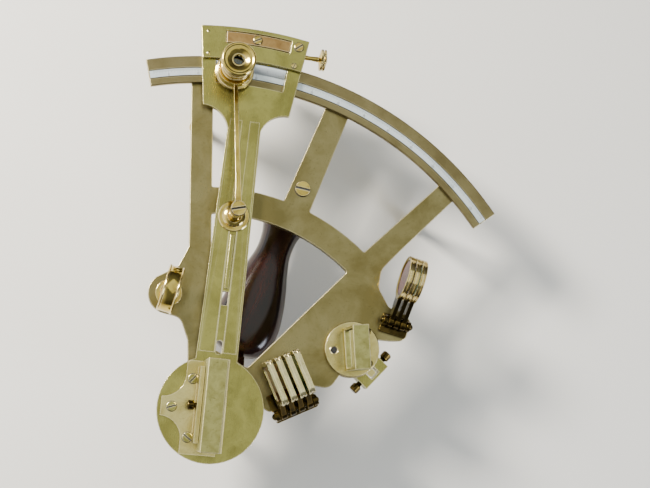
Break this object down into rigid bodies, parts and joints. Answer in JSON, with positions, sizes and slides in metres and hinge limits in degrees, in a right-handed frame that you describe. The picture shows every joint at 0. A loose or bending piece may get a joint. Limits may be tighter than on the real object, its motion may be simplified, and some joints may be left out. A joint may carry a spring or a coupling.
{
  "type": "nautical sextant",
  "caption": "Hand-held brass instrument for measuring angles: a swinging index arm over a divided arc, with two mirrors, hinged shades, a magnifier and a telescope ring.",
  "frame": {"origin": "the foot under the index arm's pivot, on the resting surface; the pivot is the Z axis", "axes": "+Z square to the frame plate, out of its face; +Y along the frame's telescope-side bar, from the pivot to the limb"},
  "size_m": [0.2024, 0.2442, 0.1049],
  "materials": {
    "frame_brass": "lacquered, dulled with age",
    "lacquered_brass": "lacquered, olive-gold",
    "polished_brass": "polished",
    "scale_silver": "satin silver inlay",
    "copper_strip": "dull copper-pink",
    "bronzed_brass": "chemically bronzed, dark",
    "silvered_glass": "silvered",
    "lens_glass": "clear polished",
    "shade_glass": "dark tinted, polished",
    "mahogany": "french polished, dark"
  },
  "bodies": {
    "instrument_frame": {"frame": "frame_brass", "limb": "frame_brass", "arc_scale": "scale_silver", "left_leg": "polished_brass", "right_leg": "polished_brass", "pivot_foot": "polished_brass", "bearing_cap": "polished_brass", "pivot_bush": "polished_brass", "handle_grip": "mahogany", "handle_lower_bracket": "polished_brass", "handle_upper_bracket": "polished_brass", "handle_frame_screw": "frame_brass", "collar_socket": "polished_brass", "horizon_adjuster_block": "lacquered_brass", "index_shade_bracket": "frame_brass", "index_shade_pin": "polished_brass", "horizon_shade_bracket": "frame_brass", "horizon_shade_pin": "polished_brass"},
    "arm": {"index_arm": "lacquered_brass", "arm_rib": "lacquered_brass", "vernier_plate": "scale_silver", "clamp_cover": "lacquered_brass", "clamp_spring": "copper_strip", "pivot_axle": "polished_brass", "pivot_nut": "polished_brass", "index_mirror_base": "lacquered_brass", "index_mirror_frame": "lacquered_brass", "index_mirror_glass": "silvered_glass", "magnifier_pillar": "polished_brass", "magnifier_pivot_screw": "polished_brass", "tangent_bearing": "lacquered_brass"},
    "arm_mirror_screw": {"index_mirror_adjuster": "polished_brass"},
    "magnifier_carrier": {"magnifier_arm": "polished_brass"},
    "magnifier": {"magnifier_tube": "polished_brass", "magnifier_eyepiece": "polished_brass", "magnifier_lens": "lens_glass"},
    "clamp": {"clamp_block": "lacquered_brass"},
    "clamp_thumb_screw": {"clamp_screw": "polished_brass"},
    "fine_screw": {"tangent_screw": "polished_brass"},
    "collar": {"telescope_collar": "polished_brass"},
    "collar_milled_nut": {"collar_nut": "polished_brass"},
    "horizon_mirror": {"horizon_mirror_base": "lacquered_brass", "horizon_mirror_frame": "lacquered_brass", "horizon_mirror_glass": "silvered_glass"},
    "capstan_screw_1": {"horizon_adjuster_screw_1": "bronzed_brass"},
    "capstan_screw_2": {"horizon_adjuster_screw_2": "bronzed_brass"},
    "near_shade_1": {"index_shade_1": "lacquered_brass", "index_shade_glass_1": "shade_glass"},
    "near_shade_2": {"index_shade_2": "lacquered_brass", "index_shade_glass_2": "shade_glass"},
    "near_shade_3": {"index_shade_3": "lacquered_brass", "index_shade_glass_3": "shade_glass"},
    "near_shade_4": {"index_shade_4": "lacquered_brass", "index_shade_glass_4": "shade_glass"},
    "far_shade_1": {"horizon_shade_1": "bronzed_brass", "horizon_shade_glass_1": "shade_glass"},
    "far_shade_2": {"horizon_shade_2": "bronzed_brass", "horizon_shade_glass_2": "shade_glass"},
    "far_shade_3": {"horizon_shade_3": "bronzed_brass", "horizon_shade_glass_3": "shade_glass"}
  },
  "joints": [
    {"name": "index_arm_swing", "type": "hinge", "parent": "instrument_frame", "child": "arm", "pos_m": [0, 0, 0.0668], "axis": [0, 0, -1], "range_deg": [-10.7, 40.8]},
    {"name": "magnifier_swing", "type": "hinge", "parent": "arm", "child": "magnifier_carrier", "pos_m": [0.01146, 0.10638, 0.0927], "axis": [0, 0, -1], "range_deg": [-6.5, 21.5]},
    {"name": "magnifier_focus", "type": "slide", "parent": "magnifier_carrier", "child": "magnifier", "axis": [0, 0, 1], "range_m": [-0.0015, 0.0015]},
    {"name": "tangent_screw_turn", "type": "hinge", "parent": "arm", "child": "fine_screw", "pos_m": [0.0221, 0.20506, 0.0607], "axis": [0.9942, -0.1071, 0], "range_deg": [-722, 722]},
    {"name": "clamp_creep", "type": "slide", "parent": "arm", "child": "clamp", "axis": [0.9942, -0.1071, 0], "range_m": [-0.001, 0.001]},
    {"name": "clamp_screw_turn", "type": "hinge", "parent": "clamp", "child": "clamp_thumb_screw", "pos_m": [0.0221, 0.20506, 0.046], "axis": [0, 0, 1], "range_deg": [0, 360]},
    {"name": "collar_nut_turn", "type": "hinge", "parent": "instrument_frame", "child": "collar_milled_nut", "pos_m": [-0.0233, 0.0637, 0.0407], "axis": [0, 0, 1], "range_deg": [-2160, 2880]},
    {"name": "collar_rise", "type": "slide", "parent": "instrument_frame", "child": "collar", "axis": [0, 0, 1], "range_m": [-0.0046, 0.0061]},
    {"name": "horizon_screw_1_turn", "type": "hinge", "parent": "instrument_frame", "child": "capstan_screw_1", "pos_m": [0.09155, 0.02116, 0.0539], "axis": [-0.7009, -0.7133, 0], "range_deg": [-450, 450]},
    {"name": "horizon_screw_2_turn", "type": "hinge", "parent": "instrument_frame", "child": "capstan_screw_2", "pos_m": [0.09155, 0.02116, 0.0539], "axis": [-0.7009, -0.7133, 0], "range_deg": [-450, 450]},
    {"name": "horizon_mirror_turn", "type": "hinge", "parent": "instrument_frame", "child": "horizon_mirror", "pos_m": [0.079, 0.0335, 0.063], "axis": [0, 0, 1], "range_deg": [-1.9, 1.9]},
    {"name": "index_mirror_screw_turn", "type": "hinge", "parent": "arm", "child": "arm_mirror_screw", "pos_m": [0.00013, 0.00149, 0.0801], "axis": [0.9961, -0.0877, 0], "range_deg": [-180, 180]},
    {"name": "near_shade_1_swing", "type": "hinge", "parent": "instrument_frame", "child": "near_shade_1", "pos_m": [0.0397, -0.00217, 0.068], "axis": [0.9206, 0.3904, 0], "range_deg": [0, 115]},
    {"name": "near_shade_2_swing", "type": "hinge", "parent": "instrument_frame", "child": "near_shade_2", "pos_m": [0.04449, -0.00014, 0.068], "axis": [0.9206, 0.3904, 0], "range_deg": [0, 115]},
    {"name": "near_shade_3_swing", "type": "hinge", "parent": "instrument_frame", "child": "near_shade_3", "pos_m": [0.04927, 0.00189, 0.068], "axis": [0.9206, 0.3904, 0], "range_deg": [0, 115]},
    {"name": "near_shade_4_swing", "type": "hinge", "parent": "instrument_frame", "child": "near_shade_4", "pos_m": [0.05406, 0.00392, 0.068], "axis": [0.9206, 0.3904, 0], "range_deg": [0, 115]},
    {"name": "far_shade_1_swing", "type": "hinge", "parent": "instrument_frame", "child": "far_shade_1", "pos_m": [0.10029, 0.04911, 0.068], "axis": [0.9591, -0.2831, 0], "range_deg": [0, 125]},
    {"name": "far_shade_2_swing", "type": "hinge", "parent": "instrument_frame", "child": "far_shade_2", "pos_m": [0.10374, 0.04809, 0.068], "axis": [0.9591, -0.2831, 0], "range_deg": [0, 125]},
    {"name": "far_shade_3_swing", "type": "hinge", "parent": "instrument_frame", "child": "far_shade_3", "pos_m": [0.1072, 0.04707, 0.068], "axis": [0.9591, -0.2831, 0], "range_deg": [0, 125]}
  ],
  "couplings": [
    {"joint": "tangent_screw_turn", "follows": "clamp_creep", "rad_per_m": 12566},
    {"joint": "collar_rise", "follows": "collar_nut_turn", "m_per_rad": 0.00011937},
    {"joint": "horizon_screw_2_turn", "follows": "horizon_screw_1_turn", "ratio": 1},
    {"joint": "horizon_mirror_turn", "follows": "horizon_screw_1_turn", "ratio": 0.004069}
  ]
}
